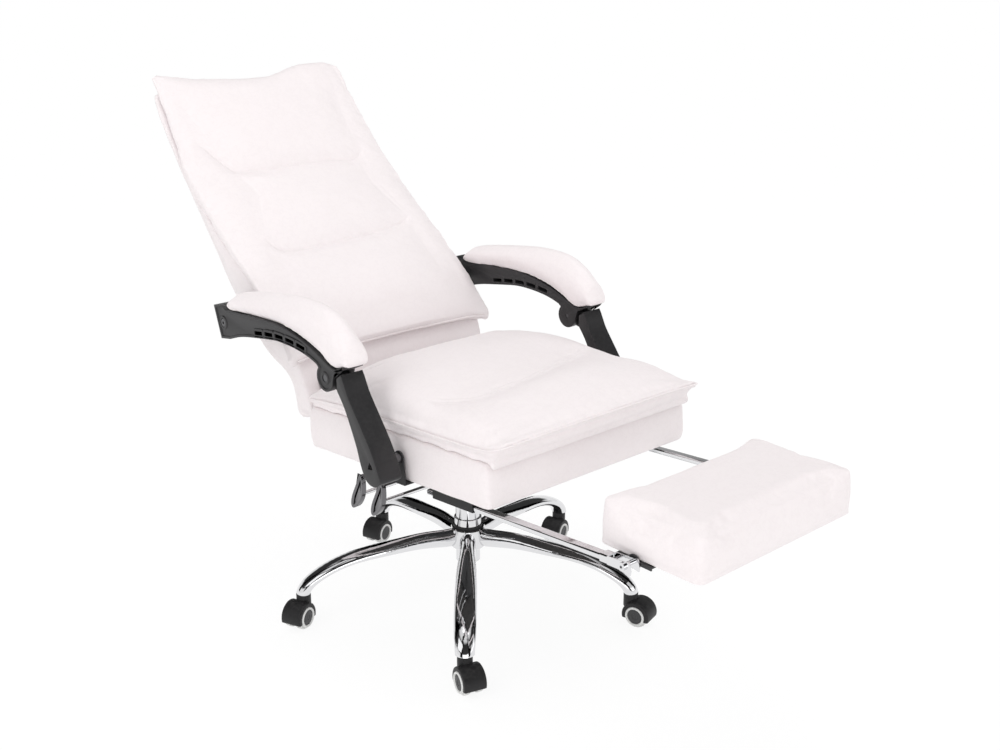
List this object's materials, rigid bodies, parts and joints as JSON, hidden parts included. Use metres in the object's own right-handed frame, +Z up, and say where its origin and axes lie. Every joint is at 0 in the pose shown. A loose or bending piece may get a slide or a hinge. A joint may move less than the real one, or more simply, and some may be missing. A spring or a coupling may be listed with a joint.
{
  "type": "reclining office chair",
  "caption": "Reclining office chair on a five-star caster base, with padded linked arms, padded seat and back, and a slide-out footrest that turns over.",
  "frame": {"origin": "on the floor under the middle of the gas column", "axes": "+Z up, +Y towards the back of the chair, so the sitter faces -Y and the sitter's right is -X"},
  "size_m": [0.7241, 1.5405, 1.0293],
  "materials": {
    "upholstery": "satin",
    "polished_chrome": "polished",
    "smoked_chrome": "polished",
    "arm_plastic": "satin",
    "black_plastic": "satin",
    "white_tread": "satin",
    "wheel_grey": "satin",
    "bolt_steel": "satin",
    "black_steel": "satin",
    "nylon": "matte",
    "board": "matte"
  },
  "bodies": {
    "base": {"base_hub": "polished_chrome", "base_legs": "polished_chrome", "hub_ring": "black_plastic", "column_collar": "polished_chrome", "gas_tube": "polished_chrome", "column_bush": "nylon", "gas_rod": "bolt_steel"},
    "lift": {"gas_piston": "bolt_steel"},
    "seat": {"mechanism_pan": "black_steel", "seat_board": "board", "seat_cushion": "upholstery", "seat_top_pad": "upholstery", "rail_guides": "black_plastic", "hinge_plates": "black_steel", "hinge_pins": "bolt_steel", "arm_mount_plates": "black_steel", "bracket_bolts": "bolt_steel"},
    "height_lever": {"height_lever_rod": "polished_chrome", "height_lever_paddle": "smoked_chrome"},
    "recline_lever": {"recline_lever_rod": "polished_chrome", "recline_lever_paddle": "smoked_chrome"},
    "back": {"back_shell": "upholstery", "back_top_pad": "upholstery", "back_frame": "black_steel", "arm_rear_bolts": "bolt_steel", "arm_spacers": "black_plastic"},
    "right_arm": {"right_arm_frame": "arm_plastic", "right_arm_pad": "upholstery", "right_knuckle_bolt": "bolt_steel"},
    "left_arm": {"left_arm_frame": "arm_plastic", "left_arm_pad": "upholstery", "left_knuckle_bolt": "bolt_steel"},
    "right_bracket": {"right_arm_bracket": "arm_plastic"},
    "left_bracket": {"left_arm_bracket": "arm_plastic"},
    "footrest_slide": {"footrest_rails": "polished_chrome", "rail_sleeves": "polished_chrome", "flip_bolts": "polished_chrome"},
    "footrest": {"footrest_board": "board", "footrest_cushion": "upholstery", "footrest_straps": "black_steel"},
    "caster_1": {"caster_hood_1": "black_plastic", "caster_pins_1": "bolt_steel"},
    "wheels_1": {"caster_tyres_1": "white_tread", "caster_centres_1": "wheel_grey"},
    "caster_2": {"caster_hood_2": "black_plastic", "caster_pins_2": "bolt_steel"},
    "wheels_2": {"caster_tyres_2": "white_tread", "caster_centres_2": "wheel_grey"},
    "caster_3": {"caster_hood_3": "black_plastic", "caster_pins_3": "bolt_steel"},
    "wheels_3": {"caster_tyres_3": "white_tread", "caster_centres_3": "wheel_grey"},
    "caster_4": {"caster_hood_4": "black_plastic", "caster_pins_4": "bolt_steel"},
    "wheels_4": {"caster_tyres_4": "white_tread", "caster_centres_4": "wheel_grey"},
    "caster_5": {"caster_hood_5": "black_plastic", "caster_pins_5": "bolt_steel"},
    "wheels_5": {"caster_tyres_5": "white_tread", "caster_centres_5": "wheel_grey"}
  },
  "joints": [
    {"name": "lift_slide", "type": "slide", "parent": "base", "child": "lift", "axis": [0, 0, 1], "range_m": [-0.055, 0.04]},
    {"name": "seat_swivel", "type": "hinge", "parent": "lift", "child": "seat", "pos_m": [0, 0, 0.31], "axis": [0, 0, 1], "continuous": true},
    {"name": "back_recline", "type": "hinge", "parent": "seat", "child": "back", "pos_m": [0, 0.23, 0.45], "axis": [1, 0, 0], "range_deg": [0, 33]},
    {"name": "right_arm_link", "type": "hinge", "parent": "back", "child": "right_arm", "pos_m": [-0.307, 0.357, 0.583], "axis": [1, 0, 0], "range_deg": [-34, 1]},
    {"name": "left_arm_link", "type": "hinge", "parent": "back", "child": "left_arm", "pos_m": [0.307, 0.357, 0.583], "axis": [1, 0, 0], "range_deg": [-34, 1]},
    {"name": "right_bracket_link", "type": "hinge", "parent": "seat", "child": "right_bracket", "pos_m": [-0.307, -0.121, 0.422], "axis": [1, 0, 0], "range_deg": [-1, 34]},
    {"name": "left_bracket_link", "type": "hinge", "parent": "seat", "child": "left_bracket", "pos_m": [0.307, -0.121, 0.422], "axis": [1, 0, 0], "range_deg": [-1, 34]},
    {"name": "height_lever_turn", "type": "hinge", "parent": "seat", "child": "height_lever", "pos_m": [-0.17, -0.04329, 0.33415], "axis": [1, 0, 0], "range_deg": [0, 15], "stiffness_Nm_per_rad": 1.2, "springref_deg": -5.73},
    {"name": "recline_lever_turn", "type": "hinge", "parent": "seat", "child": "recline_lever", "pos_m": [-0.17, -0.10513, 0.33864], "axis": [1, 0, 0], "range_deg": [0, 15], "stiffness_Nm_per_rad": 1.2, "springref_deg": -5.73},
    {"name": "footrest_travel", "type": "slide", "parent": "seat", "child": "footrest_slide", "axis": [0, 0.9974, -0.0724], "range_m": [0, 0.3]},
    {"name": "footrest_flip", "type": "hinge", "parent": "footrest_slide", "child": "footrest", "pos_m": [0, -0.63314, 0.38838], "axis": [1, 0, 0], "range_deg": [-1, 181]},
    {"name": "caster_swivel_1", "type": "hinge", "parent": "base", "child": "caster_1", "pos_m": [-0.2295, -0.25759, 0.07], "axis": [0, 0, 1], "continuous": true},
    {"name": "caster_wheels_1", "type": "hinge", "parent": "caster_1", "child": "wheels_1", "pos_m": [-0.23502, -0.27681, 0.025], "axis": [0.9613, -0.2756, 0], "continuous": true},
    {"name": "caster_swivel_2", "type": "hinge", "parent": "base", "child": "caster_2", "pos_m": [0.17406, -0.29787, 0.07], "axis": [0, 0, 1], "continuous": true},
    {"name": "caster_wheels_2", "type": "hinge", "parent": "caster_2", "child": "wheels_2", "pos_m": [0.17958, -0.3171, 0.025], "axis": [0.9613, 0.2756, 0], "continuous": true},
    {"name": "caster_swivel_3", "type": "hinge", "parent": "base", "child": "caster_3", "pos_m": [0.33708, 0.0735, 0.07], "axis": [0, 0, 1], "continuous": true},
    {"name": "caster_wheels_3", "type": "hinge", "parent": "caster_3", "child": "wheels_3", "pos_m": [0.31806, 0.06731, 0.025], "axis": [0.309, -0.9511, 0], "continuous": true},
    {"name": "caster_swivel_4", "type": "hinge", "parent": "base", "child": "caster_4", "pos_m": [0.03426, 0.34329, 0.07], "axis": [0, 0, 1], "continuous": true},
    {"name": "caster_wheels_4", "type": "hinge", "parent": "caster_4", "child": "wheels_4", "pos_m": [0.01524, 0.33711, 0.025], "axis": [0.309, -0.9511, 0], "continuous": true},
    {"name": "caster_swivel_5", "type": "hinge", "parent": "base", "child": "caster_5", "pos_m": [-0.3159, 0.13867, 0.07], "axis": [0, 0, 1], "continuous": true},
    {"name": "caster_wheels_5", "type": "hinge", "parent": "caster_5", "child": "wheels_5", "pos_m": [-0.33445, 0.13118, 0.025], "axis": [0.3746, -0.9272, 0], "continuous": true}
  ],
  "couplings": [
    {"joint": "right_arm_link", "follows": "back_recline", "ratio": -1},
    {"joint": "left_arm_link", "follows": "back_recline", "ratio": -1},
    {"joint": "right_bracket_link", "follows": "back_recline", "ratio": 1},
    {"joint": "left_bracket_link", "follows": "back_recline", "ratio": 1},
    {"joint": "footrest_flip", "follows": "footrest_travel", "rad_per_m": 10.472}
  ]
}
